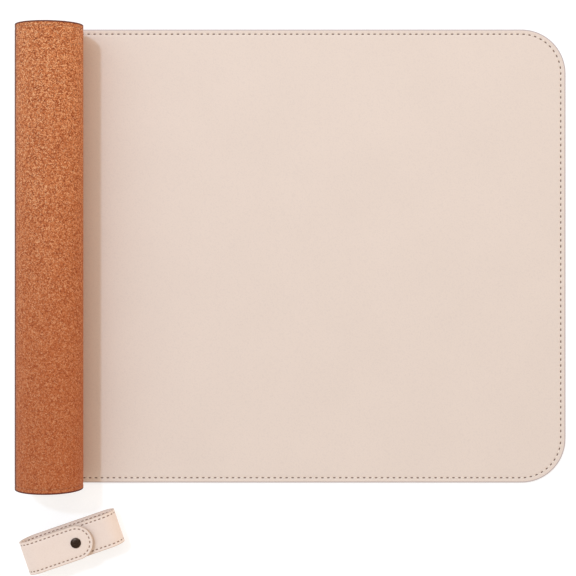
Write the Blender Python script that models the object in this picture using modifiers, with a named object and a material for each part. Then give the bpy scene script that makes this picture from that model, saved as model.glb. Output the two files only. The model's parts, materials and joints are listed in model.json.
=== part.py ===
"""Desk mat: a leather face on a cork back, lying flat with its left end rolled up, and its snap strap.

Metres, +Z up. The origin is the centre of the flat underside. The mat's length runs along X, with the
roll at the -X end, and its width along Y. The roll is a chain of narrow strips, each hinged to the one
before it, so the sheet can be unrolled until it lies flat. The strap lies closed in front of the roll.
"""

import math

import bmesh
import bpy
from mathutils import Matrix, Vector

MM = 0.001

# The sheet, before rolling
LENGTH = 600 * MM
WIDTH = 350 * MM
CORNER_RADIUS = 34 * MM
CORK = 1.0 * MM
GLUE_LINE = 0.1 * MM
LEATHER = 0.9 * MM
THICKNESS = CORK + GLUE_LINE + LEATHER

# The seam round the sheet's edge
SEAM_INSET = 3.6 * MM
THREAD_RADIUS = 0.28 * MM
THREAD_SINK = 0.32 * MM
THREAD_ROOM = 0.12 * MM

# The roll
ROLL_DIAMETER = 52.4 * MM
STRIP_COUNT = 24
STRIP_TURN = math.radians(20.4)
TURN_PITCH = 2.6 * MM
HINGE_GAP = 0.5 * MM
# The sheet's middle tightens by half a pitch from the roll's bottom to its top
OUTER_RADIUS = (ROLL_DIAMETER - THICKNESS) / 2 + TURN_PITCH / 4
ARC_RADII = [OUTER_RADIUS - i * TURN_PITCH * STRIP_TURN / math.tau for i in range(STRIP_COUNT)]
ROLLED_LENGTH = sum(ARC_RADII) * STRIP_TURN
FLAT_LENGTH = LENGTH - ROLLED_LENGTH

# The strap, a flattened closed loop
STRAP_WIDTH = 26 * MM
STRAP_THICKNESS = 1.6 * MM
STRAP_SEAM_INSET = 2.4 * MM
STRAP_CORNER = 5 * MM
STRAP_STRAIGHT = 54 * MM
STRAP_END_RADIUS = 9.2 * MM
STRAP_LAYER_GAP = 2.6 * MM
STRAP_TOP_RADIUS = STRAP_END_RADIUS + (STRAP_THICKNESS + STRAP_LAYER_GAP) / 2
STRAP_INNER_END = -16 * MM
STRAP_TAB_END = 17 * MM
STRAP_PLACE = Vector((-182 * MM, -218 * MM, 0))
STRAP_ANGLE = math.radians(19)
TAB_HINGE = -22 * MM

# The snap fastener, sized from its middle outwards
SNAP_AT = 4 * MM
SNAP_SEAT = 0.05 * MM
CAP_RADIUS = 4.0 * MM
CAP_RISE = 1.0 * MM
CAP_RIM = 0.4 * MM
SHANK_RADIUS = 0.9 * MM
SHANK_HOLE = 1.2 * MM
SOCKET_RADIUS = 3.6 * MM
SOCKET_HEIGHT = 2.1 * MM
SOCKET_CEILING = 0.5 * MM
SOCKET_CAVITY = 2.3 * MM
STUD_FLANGE = 3.4 * MM
STUD_FLANGE_THICKNESS = 0.3 * MM
STUD_NECK = 1.5 * MM
STUD_HEAD = 1.9 * MM
STUD_NECK_TOP = 0.9 * MM
STUD_HEIGHT = 1.7 * MM
POST_RADIUS = 0.7 * MM
POST_HOLE = 0.95 * MM
POST_HOLE_DEPTH = 1.2 * MM
POST_REACH = 1.0 * MM
POST_HEAD = 3.2 * MM
POST_HEAD_THICKNESS = 0.4 * MM

# How finely round shapes are divided
BEND_STEP = STRIP_TURN / 4
STRAP_BEND_STEP = math.radians(11.25)
CORNER_STEPS = 12
SEAM_CORNER_STEPS = 8
THREAD_RESOLUTION = 2
TURNED_STEPS = 32
CAP_STEPS = 6
SHARP_ANGLE = math.radians(30)

# Tolerances: how far a cutter reaches past its piece, what counts as flat and as one point
CLEARANCE = 1 * MM
FLAT_ANGLE = math.radians(0.5)
WELD = 1e-7


class Path:
    """A line in the x, z plane made of straight and round stretches, each a length and a turn.

    A positive turn bends the line to its right. Height is measured to the right of the line too.
    """

    def __init__(self, x, z, heading, stretches):
        self.stretches = []
        distance = 0.0
        for length, turn in stretches:
            self.stretches.append((distance, length, turn, x, z, heading))
            x, z = self.step(x, z, heading, length, turn, 1.0, 0.0)
            heading -= turn
            distance += length
        self.length = distance

    @staticmethod
    def step(x, z, heading, length, turn, share, height):
        """The point a share of the way along a stretch, at a height to its right."""
        right_x, right_z = math.sin(heading), -math.cos(heading)
        if turn == 0:
            run = length * share
            return x - right_z * run + right_x * height, z + right_x * run + right_z * height
        radius = length / turn
        end = heading - turn * share
        reach = radius - height
        return (
            x + right_x * radius - math.sin(end) * reach,
            z + right_z * radius + math.cos(end) * reach,
        )

    def place(self, distance, height):
        """World x and z of the point at a distance along the line and a height to its right."""
        for start, length, turn, x, z, heading in reversed(self.stretches):
            if distance >= start:
                break
        return self.step(x, z, heading, length, turn, (distance - start) / length, height)

    def bends(self, step):
        """Distances that divide every round stretch into turns of at most one step."""
        found = []
        for start, length, turn, *_ in self.stretches:
            count = math.ceil(abs(turn) / step - WELD)
            found += [start + length * i / count for i in range(count + 1) if count]
        return sorted(set(found))


def sheet_path():
    """The middle of the sheet, from its right edge to the end that is rolled up."""
    arcs = [(radius * STRIP_TURN, STRIP_TURN) for radius in ARC_RADII]
    return Path(FLAT_LENGTH / 2, THICKNESS / 2, math.pi, [(FLAT_LENGTH, 0.0), *arcs])


def strap_path():
    """The middle of the strap, from its covered end round the loop to the tip of its tab."""
    half = STRAP_STRAIGHT / 2
    inner_top = STRAP_THICKNESS / 2 + 2 * STRAP_END_RADIUS
    return Path(
        STRAP_INNER_END,
        inner_top,
        0.0,
        [
            (half - STRAP_INNER_END, 0.0),
            (math.pi * STRAP_END_RADIUS, math.pi),
            (STRAP_STRAIGHT, 0.0),
            (math.pi * STRAP_TOP_RADIUS, math.pi),
            (half + STRAP_TAB_END, 0.0),
        ],
    )


SHEET = sheet_path()
STRAP = strap_path()
STRAP_TO_WORLD = Matrix.Translation(STRAP_PLACE) @ Matrix.Rotation(STRAP_ANGLE, 4, "Z")
STRAP_INNER_TOP = STRAP_THICKNESS + 2 * STRAP_END_RADIUS
TAB_BOTTOM = STRAP_INNER_TOP + STRAP_LAYER_GAP
TAB_TOP = TAB_BOTTOM + STRAP_THICKNESS
TAB_HINGE_DISTANCE = STRAP.length - (STRAP_TAB_END - TAB_HINGE)


def clear_scene():
    for obj in list(bpy.data.objects):
        bpy.data.objects.remove(obj, do_unlink=True)


def collection(name):
    made = bpy.data.collections.new(name)
    bpy.context.scene.collection.children.link(made)
    return made


def material(name, colour, roughness, metallic=0.0):
    made = bpy.data.materials.new(name)
    made.use_nodes = True
    shader = made.node_tree.nodes["Principled BSDF"]
    shader.inputs["Base Color"].default_value = (*colour, 1.0)
    shader.inputs["Roughness"].default_value = roughness
    shader.inputs["Metallic"].default_value = metallic
    return made


def arc_points(x, y, radius, start, steps):
    """Points on a quarter circle that runs anticlockwise from the start angle."""
    turns = [start + math.pi / 2 * i / steps for i in range(steps + 1)]
    return [(x + radius * math.cos(turn), y + radius * math.sin(turn)) for turn in turns]


def rounded_outline(length, width, near_radius, far_radius, steps):
    """An outline from x = 0 to its length, rounded more or less at its near and its far end."""
    corners = (
        (far_radius, length - far_radius, -1, -math.pi / 2),
        (far_radius, length - far_radius, 1, 0.0),
        (near_radius, near_radius, 1, math.pi / 2),
        (near_radius, near_radius, -1, math.pi),
    )
    points = []
    for radius, x, side, start in corners:
        points += arc_points(x, side * (width / 2 - radius), radius, start, steps)
    return points


def mesh_of(obj):
    """The object's evaluated mesh, with the object itself removed."""
    graph = bpy.context.evaluated_depsgraph_get()
    mesh = bpy.data.meshes.new_from_object(obj.evaluated_get(graph))
    bpy.data.objects.remove(obj, do_unlink=True)
    return mesh


def flat_slab(outline, low, high):
    """A bmesh of an outline given a thickness, lying between two heights."""
    curve = bpy.data.curves.new("outline", "CURVE")
    curve.dimensions = "2D"
    curve.fill_mode = "BOTH"
    curve.extrude = (high - low) / 2
    spline = curve.splines.new("POLY")
    spline.points.add(len(outline) - 1)
    for point, (x, y) in zip(spline.points, outline):
        point.co = (x, y, 0.0, 1.0)
    spline.use_cyclic_u = True
    helper = bpy.data.objects.new("outline", curve)
    bpy.context.scene.collection.objects.link(helper)
    slab = bmesh.new()
    slab.from_mesh(mesh_of(helper))
    bmesh.ops.remove_doubles(slab, verts=slab.verts, dist=WELD)
    bmesh.ops.dissolve_limit(slab, angle_limit=FLAT_ANGLE, verts=slab.verts, edges=slab.edges)
    bmesh.ops.translate(slab, verts=slab.verts, vec=(0.0, 0.0, (low + high) / 2))
    return slab


def cut_across(slab, distance, drop=0):
    """Divides a slab at a distance along it. It drops the nearer side for -1, the farther for 1."""
    geometry = [*slab.verts, *slab.edges, *slab.faces]
    cut = bmesh.ops.bisect_plane(
        slab,
        geom=geometry,
        plane_co=(distance, 0, 0),
        plane_no=(1, 0, 0),
        clear_inner=drop < 0,
        clear_outer=drop > 0,
    )
    if drop:
        edges = [e for e in cut["geom_cut"] if isinstance(e, bmesh.types.BMEdge)]
        bmesh.ops.holes_fill(slab, edges=edges, sides=0)


def bent_mesh(name, slab, path, start, end, step):
    """The stretch of a flat slab between two distances, laid along a path."""
    part = slab.copy()
    if start is not None:
        cut_across(part, start, drop=-1)
    if end is not None:
        cut_across(part, end, drop=1)
    low = min(vert.co.x for vert in part.verts)
    high = max(vert.co.x for vert in part.verts)
    for distance in path.bends(step):
        if low + WELD < distance < high - WELD:
            cut_across(part, distance)
    bmesh.ops.recalc_face_normals(part, faces=part.faces)
    for vert in part.verts:
        x, z = path.place(vert.co.x, vert.co.z)
        vert.co = (x, vert.co.y, z)
    # Distance, y and height to the right make a left-handed set, which turns every face round.
    bmesh.ops.reverse_faces(part, faces=part.faces)
    mesh = bpy.data.meshes.new(name)
    part.to_mesh(mesh)
    part.free()
    return mesh


def finish(obj, home, surface, origin):
    """Moves an object whose mesh is in world coordinates to its own origin, and gives it its material."""
    obj.data.transform(Matrix.Translation(-origin))
    obj.location = origin
    obj.data.materials.clear()
    obj.data.materials.append(surface)
    home.objects.link(obj)
    return obj


def smooth(obj):
    obj.data.shade_smooth()
    obj.data.set_sharp_from_angle(angle=SHARP_ANGLE)


def seam_points(path, inset, radius, width, start, height):
    """World points of a seam down one side of a strip, round its near end and back up the other."""
    corner = radius - inset
    side = width / 2 - inset
    near = [
        *arc_points(radius, side - corner, corner, math.pi / 2, SEAM_CORNER_STEPS),
        *arc_points(radius, corner - side, corner, math.pi, SEAM_CORNER_STEPS),
    ]
    bends = [d for d in path.bends(BEND_STEP) if radius + WELD < d < start - WELD]
    up = [(d, side) for d in (start, *reversed(bends))]
    down = [(d, -side) for d in (*bends, start)]
    points = []
    for distance, y in (*up, *near, *down):
        x, z = path.place(distance, height)
        points.append(Vector((x, y, z)))
    return points


def tube_curve(name, points, radius):
    """A round wire through the points, with closed ends."""
    curve = bpy.data.curves.new(name, "CURVE")
    curve.dimensions = "3D"
    curve.bevel_depth = radius
    curve.bevel_resolution = THREAD_RESOLUTION
    curve.use_fill_caps = True
    spline = curve.splines.new("POLY")
    spline.points.add(len(points) - 1)
    for point, place in zip(spline.points, points):
        point.co = (*place, 1.0)
    return curve


def tube_mesh(name, points, radius):
    helper = bpy.data.objects.new(name, tube_curve(name, points, radius))
    bpy.context.scene.collection.objects.link(helper)
    mesh = mesh_of(helper)
    work = bmesh.new()
    work.from_mesh(mesh)
    bmesh.ops.remove_doubles(work, verts=work.verts, dist=WELD)
    bmesh.ops.recalc_face_normals(work, faces=work.faces)
    work.to_mesh(mesh)
    work.free()
    return mesh


def cutter(mesh, home):
    obj = bpy.data.objects.new(mesh.name, mesh)
    obj.hide_render = True
    obj.display_type = "WIRE"
    home.objects.link(obj)
    return obj


def cut(obj, tool):
    modifier = obj.modifiers.new("cut_" + tool.name, "BOOLEAN")
    modifier.operation = "DIFFERENCE"
    modifier.solver = "EXACT"
    modifier.object = tool


def turned(name, profile, home, surface, middle):
    """A turned piece: a profile of radius and height pairs, from the axis at the top to the bottom."""
    mesh = bpy.data.meshes.new(name)
    points = [(radius, 0.0, height) for radius, height in profile]
    edges = [(i, i + 1) for i in range(len(points) - 1)]
    mesh.from_pydata(points, edges, [])
    obj = bpy.data.objects.new(name, mesh)
    obj.location = middle
    screw = obj.modifiers.new("turn", "SCREW")
    screw.steps = TURNED_STEPS
    screw.render_steps = TURNED_STEPS
    screw.use_merge_vertices = True
    screw.merge_threshold = WELD
    screw.use_smooth_shade = False
    mesh.materials.append(surface)
    home.objects.link(obj)
    return obj


def hinge_distance(index):
    """How far along the sheet its hinge of this index, counted from 0, lies."""
    before = sum(ARC_RADII[:index]) * STRIP_TURN
    return FLAT_LENGTH + before + ARC_RADII[index] * STRIP_TURN / 2


def hinge_place(index):
    """The hinge's axis. It lies just outside the middle of the sheet, so strips lie level when flat."""
    half = STRIP_TURN / 2
    outside = ARC_RADII[index] * (half / math.sin(half) - 1)
    x, z = SHEET.place(hinge_distance(index), -outside)
    return Vector((x, 0.0, z))


def sheet_layer(bottom, top):
    outline = rounded_outline(LENGTH, WIDTH, CORNER_RADIUS, CORNER_RADIUS, CORNER_STEPS)
    return flat_slab(outline, bottom - THICKNESS / 2, top - THICKNESS / 2)


def build_sheet(home, cutters, surfaces):
    """The flat part of the mat, down to the first hinge: its two layers and its seam's two threads."""
    end = hinge_distance(0) - HINGE_GAP / 2
    layers = {
        "leather_sheet": (sheet_layer(CORK + GLUE_LINE, THICKNESS), THICKNESS / 2 - THREAD_SINK),
        "cork_sheet": (sheet_layer(0.0, CORK), THREAD_SINK - THICKNESS / 2),
    }
    threads = {"leather_sheet": "needle_thread", "cork_sheet": "bobbin_thread"}
    for name, (slab, seam_height) in layers.items():
        mesh = bent_mesh(name, slab, SHEET, None, end, BEND_STEP)
        sheet = bpy.data.objects.new(name, mesh)
        finish(sheet, home, surfaces[name.split("_")[0]], Vector())
        size = (SEAM_INSET, CORNER_RADIUS, WIDTH)
        channel = seam_points(SHEET, *size, end + CLEARANCE, seam_height)
        tool = tube_mesh(threads[name] + "_channel", channel, THREAD_RADIUS + THREAD_ROOM)
        cut(sheet, cutter(tool, cutters))
        seam = seam_points(SHEET, *size, end - THREAD_ROOM, seam_height)
        curve = tube_curve(threads[name], seam, THREAD_RADIUS)
        curve.materials.append(surfaces["thread"])
        home.objects.link(bpy.data.objects.new(threads[name], curve))
        slab.free()


def build_roll(home, surfaces):
    """The rolled part of the mat: a leather and a cork strip from each hinge to the next."""
    layers = {
        "leather": sheet_layer(CORK + GLUE_LINE, THICKNESS),
        "cork": sheet_layer(0.0, CORK),
    }
    for index in range(STRIP_COUNT):
        start = hinge_distance(index) + HINGE_GAP / 2
        last = index == STRIP_COUNT - 1
        end = None if last else hinge_distance(index + 1) - HINGE_GAP / 2
        for layer, slab in layers.items():
            name = f"{layer}_strip_{index + 1:02d}"
            mesh = bent_mesh(name, slab, SHEET, start, end, BEND_STEP)
            strip = finish(
                bpy.data.objects.new(name, mesh), home, surfaces[layer], hinge_place(index)
            )
            smooth(strip)
    for slab in layers.values():
        slab.free()


def band_seam(end):
    """The band's seam before bending: along one side to the covered end, across and back again."""
    side = STRAP_WIDTH / 2 - STRAP_SEAM_INSET
    start = STRAP_SEAM_INSET
    bends = [d for d in STRAP.bends(STRAP_BEND_STEP) if start + WELD < d < end - WELD]
    line = [start, *bends, end]
    return [*((d, side) for d in reversed(line)), *((d, -side) for d in line)]


def tab_seam(start):
    """The tab's seam before bending: along one side, round the tip and back along the other."""
    side = STRAP_WIDTH / 2 - STRAP_SEAM_INSET
    middle = STRAP.length - STRAP_WIDTH / 2
    tip = [
        *arc_points(middle, 0.0, side, -math.pi / 2, SEAM_CORNER_STEPS),
        *arc_points(middle, 0.0, side, 0.0, SEAM_CORNER_STEPS)[1:],
    ]
    return [(start, -side), *tip, (start, side)]


def on_strap(flat):
    """World points of a strap's seam, as deep in the strap's outer face as its thread lies."""
    points = []
    for distance, y in flat:
        x, z = STRAP.place(distance, THREAD_SINK - STRAP_THICKNESS / 2)
        points.append(STRAP_TO_WORLD @ Vector((x, y, z)))
    return points


def hole_tool(name, radius, low, high, cutters):
    """A cylinder through the strap where the snap is."""
    bpy.ops.mesh.primitive_cylinder_add(
        vertices=TURNED_STEPS,
        radius=radius,
        depth=high - low,
        location=STRAP_TO_WORLD @ Vector((SNAP_AT, 0, (low + high) / 2)),
    )
    made = bpy.context.object
    mesh = made.data
    mesh.transform(made.matrix_world)
    bpy.data.objects.remove(made, do_unlink=True)
    mesh.name = name
    return cutter(mesh, cutters)


def strap_piece(name, start, end, origin, home, surfaces):
    """One stretch of the strap's leather, in its place on the loop."""
    outline = rounded_outline(
        STRAP.length, STRAP_WIDTH, STRAP_CORNER, STRAP_WIDTH / 2 - WELD, CORNER_STEPS
    )
    slab = flat_slab(outline, -STRAP_THICKNESS / 2, STRAP_THICKNESS / 2)
    mesh = bent_mesh(name, slab, STRAP, start, end, STRAP_BEND_STEP)
    slab.free()
    mesh.transform(STRAP_TO_WORLD)
    piece = bpy.data.objects.new(name, mesh)
    return finish(piece, home, surfaces["strap"], origin)


def build_strap(home, cutters, surfaces):
    """The strap's loop and the tab over it, each with its thread and a hole for the snap."""
    hinge = STRAP_TO_WORLD @ Vector((TAB_HINGE, 0, TAB_TOP))
    middle = STRAP_TO_WORLD @ Vector((0, 0, 0))
    band_end = TAB_HINGE_DISTANCE - HINGE_GAP / 2
    tab_start = TAB_HINGE_DISTANCE + HINGE_GAP / 2
    band = strap_piece("strap_band", None, band_end, middle, home, surfaces)
    tab = strap_piece("strap_tab", tab_start, None, hinge, home, surfaces)
    smooth(band)
    smooth(tab)
    # Each seam ends where the hinge cuts it: its line, that place and which way its piece lies
    seams = {
        "band_thread": (band, band_seam, band_end, -1, middle),
        "tab_thread": (tab, tab_seam, tab_start, 1, hinge),
    }
    for name, (piece, seam, cut_end, inwards, origin) in seams.items():
        channel = on_strap(seam(cut_end - inwards * CLEARANCE))
        tool = tube_mesh(name + "_channel", channel, THREAD_RADIUS + THREAD_ROOM)
        cut(piece, cutter(tool, cutters))
        points = on_strap(seam(cut_end + inwards * THREAD_ROOM))
        thread = bpy.data.objects.new(name, tube_mesh(name, points, THREAD_RADIUS))
        finish(thread, home, surfaces["thread"], origin)
    low = STRAP_INNER_TOP - STRAP_THICKNESS - CLEARANCE
    high = STRAP_INNER_TOP + CLEARANCE
    cut(band, hole_tool("post_hole", POST_HOLE, low, high, cutters))
    low = TAB_BOTTOM - CLEARANCE
    cut(tab, hole_tool("shank_hole", SHANK_HOLE, low, TAB_TOP + CLEARANCE, cutters))


def build_snap(home, surfaces):
    """The snap: cap and socket on the tab, stud and post on the strap's covered end."""
    middle = STRAP_TO_WORLD @ Vector((SNAP_AT, 0, 0))
    cap_base = TAB_TOP + SNAP_SEAT
    socket_top = TAB_BOTTOM - SNAP_SEAT
    socket_base = socket_top - SOCKET_HEIGHT
    ceiling = socket_top - SOCKET_CEILING
    shoulder = [
        (CAP_RADIUS * math.sin(turn), cap_base + CAP_RIM + (CAP_RISE - CAP_RIM) * math.cos(turn))
        for turn in (math.pi / 2 * i / CAP_STEPS for i in range(CAP_STEPS + 1))
    ]
    cap = [
        *shoulder,
        (CAP_RADIUS, cap_base),
        (SHANK_RADIUS, cap_base),
        (SHANK_RADIUS, ceiling + SNAP_SEAT),
        (0.0, ceiling + SNAP_SEAT),
    ]
    socket = [
        (SHANK_HOLE, socket_top),
        (SOCKET_RADIUS, socket_top),
        (SOCKET_RADIUS, socket_base),
        (SOCKET_CAVITY, socket_base),
        (SOCKET_CAVITY, ceiling),
        (SHANK_HOLE, ceiling),
        (SHANK_HOLE, socket_top),
    ]
    stud_base = STRAP_INNER_TOP + SNAP_SEAT
    stud = [
        (0.0, stud_base + STUD_HEIGHT),
        (STUD_NECK, stud_base + STUD_HEIGHT),
        (STUD_HEAD, stud_base + (STUD_HEIGHT + STUD_NECK_TOP) / 2),
        (STUD_NECK, stud_base + STUD_NECK_TOP),
        (STUD_NECK, stud_base + STUD_FLANGE_THICKNESS),
        (STUD_FLANGE, stud_base + STUD_FLANGE_THICKNESS),
        (STUD_FLANGE, stud_base),
        (POST_HOLE, stud_base),
        (POST_HOLE, stud_base + POST_HOLE_DEPTH),
        (0.0, stud_base + POST_HOLE_DEPTH),
    ]
    post_seat = STRAP_INNER_TOP - STRAP_THICKNESS - SNAP_SEAT
    post = [
        (0.0, stud_base + POST_REACH),
        (POST_RADIUS, stud_base + POST_REACH),
        (POST_RADIUS, post_seat),
        (POST_HEAD, post_seat),
        (POST_HEAD, post_seat - POST_HEAD_THICKNESS),
        (0.0, post_seat - POST_HEAD_THICKNESS),
    ]
    profiles = {"snap_cap": cap, "snap_socket": socket, "snap_stud": stud, "snap_post": post}
    for name, profile in profiles.items():
        turned(name, profile, home, surfaces["metal"], middle)


def ride_along(carriers):
    """Parents each small piece to the one that carries it, so that both turn on the same axis."""
    bpy.context.view_layer.update()
    for carrier, names in carriers.items():
        parent = bpy.data.objects[carrier]
        for name in names:
            obj = bpy.data.objects[name]
            obj.parent = parent
            obj.matrix_parent_inverse = parent.matrix_world.inverted()


def main():
    clear_scene()
    home = collection("desk_mat")
    cutters = collection("cutters")
    surfaces = {
        "leather": material("leather_face", (0.78, 0.68, 0.58), 0.55),
        "cork": material("cork_back", (0.60, 0.22, 0.085), 0.85),
        "thread": material("thread", (0.62, 0.50, 0.40), 0.7),
        "strap": material("strap_leather", (0.76, 0.65, 0.54), 0.55),
        "metal": material("snap_metal", (0.12, 0.09, 0.07), 0.35, 1.0),
    }
    build_sheet(home, cutters, surfaces)
    build_roll(home, surfaces)
    build_strap(home, cutters, surfaces)
    build_snap(home, surfaces)
    ride_along(
        {
            "strap_band": ("band_thread", "snap_stud", "snap_post"),
            "strap_tab": ("tab_thread", "snap_cap", "snap_socket"),
        }
    )


main()
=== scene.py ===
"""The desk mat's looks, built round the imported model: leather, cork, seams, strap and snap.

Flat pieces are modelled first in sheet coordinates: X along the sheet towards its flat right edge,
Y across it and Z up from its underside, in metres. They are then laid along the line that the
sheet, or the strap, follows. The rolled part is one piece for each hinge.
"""

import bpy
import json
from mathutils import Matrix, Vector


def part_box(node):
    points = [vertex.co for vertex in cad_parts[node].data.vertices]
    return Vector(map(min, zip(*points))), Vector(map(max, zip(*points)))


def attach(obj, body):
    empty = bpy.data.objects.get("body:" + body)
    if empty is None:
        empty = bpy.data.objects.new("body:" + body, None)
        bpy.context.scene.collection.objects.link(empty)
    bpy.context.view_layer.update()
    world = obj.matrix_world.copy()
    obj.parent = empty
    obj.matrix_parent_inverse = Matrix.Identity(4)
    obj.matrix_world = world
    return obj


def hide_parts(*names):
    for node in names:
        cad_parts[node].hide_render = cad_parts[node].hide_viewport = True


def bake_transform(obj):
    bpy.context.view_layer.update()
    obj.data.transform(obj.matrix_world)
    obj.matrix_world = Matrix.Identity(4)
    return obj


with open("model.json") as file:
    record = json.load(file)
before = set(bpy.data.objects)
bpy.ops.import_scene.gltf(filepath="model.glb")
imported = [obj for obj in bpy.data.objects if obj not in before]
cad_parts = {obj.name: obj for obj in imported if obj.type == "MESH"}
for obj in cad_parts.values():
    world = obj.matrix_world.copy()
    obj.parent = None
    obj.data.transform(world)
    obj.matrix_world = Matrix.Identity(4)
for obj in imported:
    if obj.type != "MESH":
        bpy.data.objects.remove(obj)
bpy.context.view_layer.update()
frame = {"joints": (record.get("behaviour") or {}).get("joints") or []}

import json
import math

import bmesh
import bpy
import numpy as np
from mathutils import Matrix, Vector

MM = 0.001
WHITE = (1.0, 1.0, 1.0, 1.0)

# Tolerances: what counts as one point, the digits kept of a seam distance, how far a distance may
# fall short of a stretch and still be on it, and the least radius that a turn is worked out from
WELD = 1e-7
SEAM_DIGITS = 9
SLACK = 1e-12
LEAST_RADIUS = 1e-9
# Farther than any piece reaches
BEYOND = 1.0
# Edges sharper than these angles, in degrees, aren't shaded smooth
SHEET_SMOOTH = 40
THREAD_SMOOTH = 80
METAL_SMOOTH = 45

# The sheet and its seam
CORNER_RADIUS = 34 * MM
SEAM_INSET = 3.6 * MM
STITCH = 4.6 * MM
THREAD_RADIUS = 0.3 * MM
# How much of the pitch a stitch leaves open at its holes, and how deep its ends go down
HOLE_SHARE = 0.40
STITCH_DIP = 0.75 * MM
# Below 1, a stitch rises steeply at its ends and is flat along its middle
STITCH_BULGE = 0.55
STITCH_STEPS = 8
THREAD_SIDES = 8
# The length of one turn of the thread's twist, and how many strands it has
TWIST = 0.8 * MM
STRANDS = 2
ARC_STEPS = 10
CORNER_STEPS = 48
# Where the mesh is sampled along one stitch, as shares of the pitch from a needle hole
HOLE_SAMPLES = (-0.27, -0.18, -0.09, 0.0, 0.09, 0.18, 0.27, 0.5)
# Half of a needle hole's length and width, and of the dimple's round it
HOLE = (1.25 * MM, 0.48 * MM)
DIMPLE = (1.4 * MM, 0.85 * MM)
DIMPLE_FALL = 1.6
# The nearest that an inset outline comes to the centre of its rounded corner
LEAST_REACH = 0.02 * MM

# The strap
STRAP_WIDTH = 26 * MM
STRAP_THICKNESS = 1.6 * MM
STRAP_LAYER_GAP = 2.6 * MM
STRAP_STRAIGHT = 54 * MM
STRAP_INNER_END = -16 * MM
STRAP_TAB_END = 17 * MM
STRAP_SEAM_INSET = 2.4 * MM
STRAP_CORNER = 5 * MM
STRAP_STITCH = 3.4 * MM
STRAP_PIT = 0.3 * MM
STRAP_ARC_STEPS = 30
SNAP_AT = 4 * MM
SNAP_SEAT = 0.05 * MM
TURNED_STEPS = 64
FILLET_STEPS = 4
# How long the tab's bend is, and how finely it is divided
TAB_BEND = 10 * MM
TAB_STEPS = 20

# Colours, each as it is seen from 0 to 255, and the widths of the painted edges, whose darker rims
# are also painted shade
LEATHER_COLOUR = (224, 208, 196)
LEATHER_RIM_PAINT_AND_SHADE = (182, 168, 168)
LEATHER_RIM_WIDTH = 0.95 * MM
LEATHER_HOLE_SHADE = (108, 82, 72)
STRAP_COLOUR = (235, 217, 205)
STRAP_RIM_PAINT_AND_SHADE = (204, 180, 162)
STRAP_RIM_WIDTH = 0.5 * MM
STRAP_HOLE_SHADE = (142, 112, 96)
RIM_WOBBLE = 0.1 * MM
# The cork's granules, from the darkest, each with its place in the range
CORK_TONES = (
    (0.10, (110, 44, 20)),
    (0.28, (164, 84, 42)),
    (0.50, (202, 120, 70)),
    (0.72, (216, 140, 88)),
    (0.90, (240, 182, 134)),
)
CORK_PALE_FLECK = (250, 200, 152)
CORK_DARK_FLECK = (112, 40, 18)
CORK_BINDER = (140, 72, 42)
CORK_RED_SHADE = (160, 78, 40)
CORK_HOLE_SHADE = (60, 34, 22)
CORK_LIMB_SHADE = (70, 40, 36)
# The cork's rim, edge paint that is also painted shade, is whole up to the first inset and gone at
# the second
CORK_RIM_PAINT_AND_SHADE = (86, 30, 24)
CORK_RIM_WIDTHS = (0.95 * MM, 1.35 * MM)
NEEDLE_COLOUR = (246, 234, 220)
BOBBIN_COLOUR = (150, 88, 54)
METAL_DARK = (44, 36, 32)
METAL_BROWN = (84, 68, 58)
METAL_WORN = (150, 128, 108)

# The sizes of each material's grain, and how deep its relief looks
LEATHER_PEBBLE = 0.85 * MM
LEATHER_PORE = 0.22 * MM
LEATHER_MOTTLE = 5 * MM
LEATHER_DRIFT = 60 * MM
CORK_GRANULE = 0.85 * MM
CORK_GRAIN = 0.42 * MM
CORK_FLECK = 0.62 * MM
CORK_SWIRL = 0.8 * MM
CORK_DRIFT = 70 * MM
METAL_PATINA = 1.2 * MM
METAL_SCRATCH = 0.15 * MM
THREAD_FUZZ = 0.12 * MM
PAPER_FIBRE = 30 * MM
LEATHER_RELIEF = 0.05 * MM
CORK_RELIEF = 0.10 * MM
THREAD_RELIEF = 0.08 * MM
METAL_RELIEF = 0.01 * MM

# The camera, and the width and the middle of what it sees at the height of the mat
VIEW_WIDTH = 445 * MM
VIEW_CENTRE_Y = -24.7 * MM
CAMERA_PLACE = Vector((-17.6 * MM, 22.7 * MM, 1086 * MM))
SENSOR = 36.0
FARTHEST_SEEN = 20.0

# The light. Each sun's direction, strength, colour and spread in degrees
SUN = (Vector((-0.345, 0.475, 1.0)), 0.64, (0.71, 1.02, 1.38), 3)
SOFT_KEY = (Vector((-0.72, 0.45, 1.0)), 0.50, (0.80, 1.0, 1.25), 45)
FILL = (Vector((1.0, 0.0, 0.18)), 0.46, (1.0, 0.80, 0.60), 25)
SKY_STRENGTH = 0.64
SKY_COLOUR = (1.115, 0.965, 0.815, 1.0)
SOFTBOX_PLACE = Vector((0.0, 0.75, 0.9))
SOFTBOX_SIZE = (1.2, 0.4)
SOFTBOX_POWER = 2.6
FLOOR_SIDE = 6.0
FLOOR_DROP = 0.2 * MM
FLOOR_GLOW = 0.665
FLOOR_GREYS = (0.40, 0.42)


# ---------------------------------------------------------------- lines that pieces follow


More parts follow.
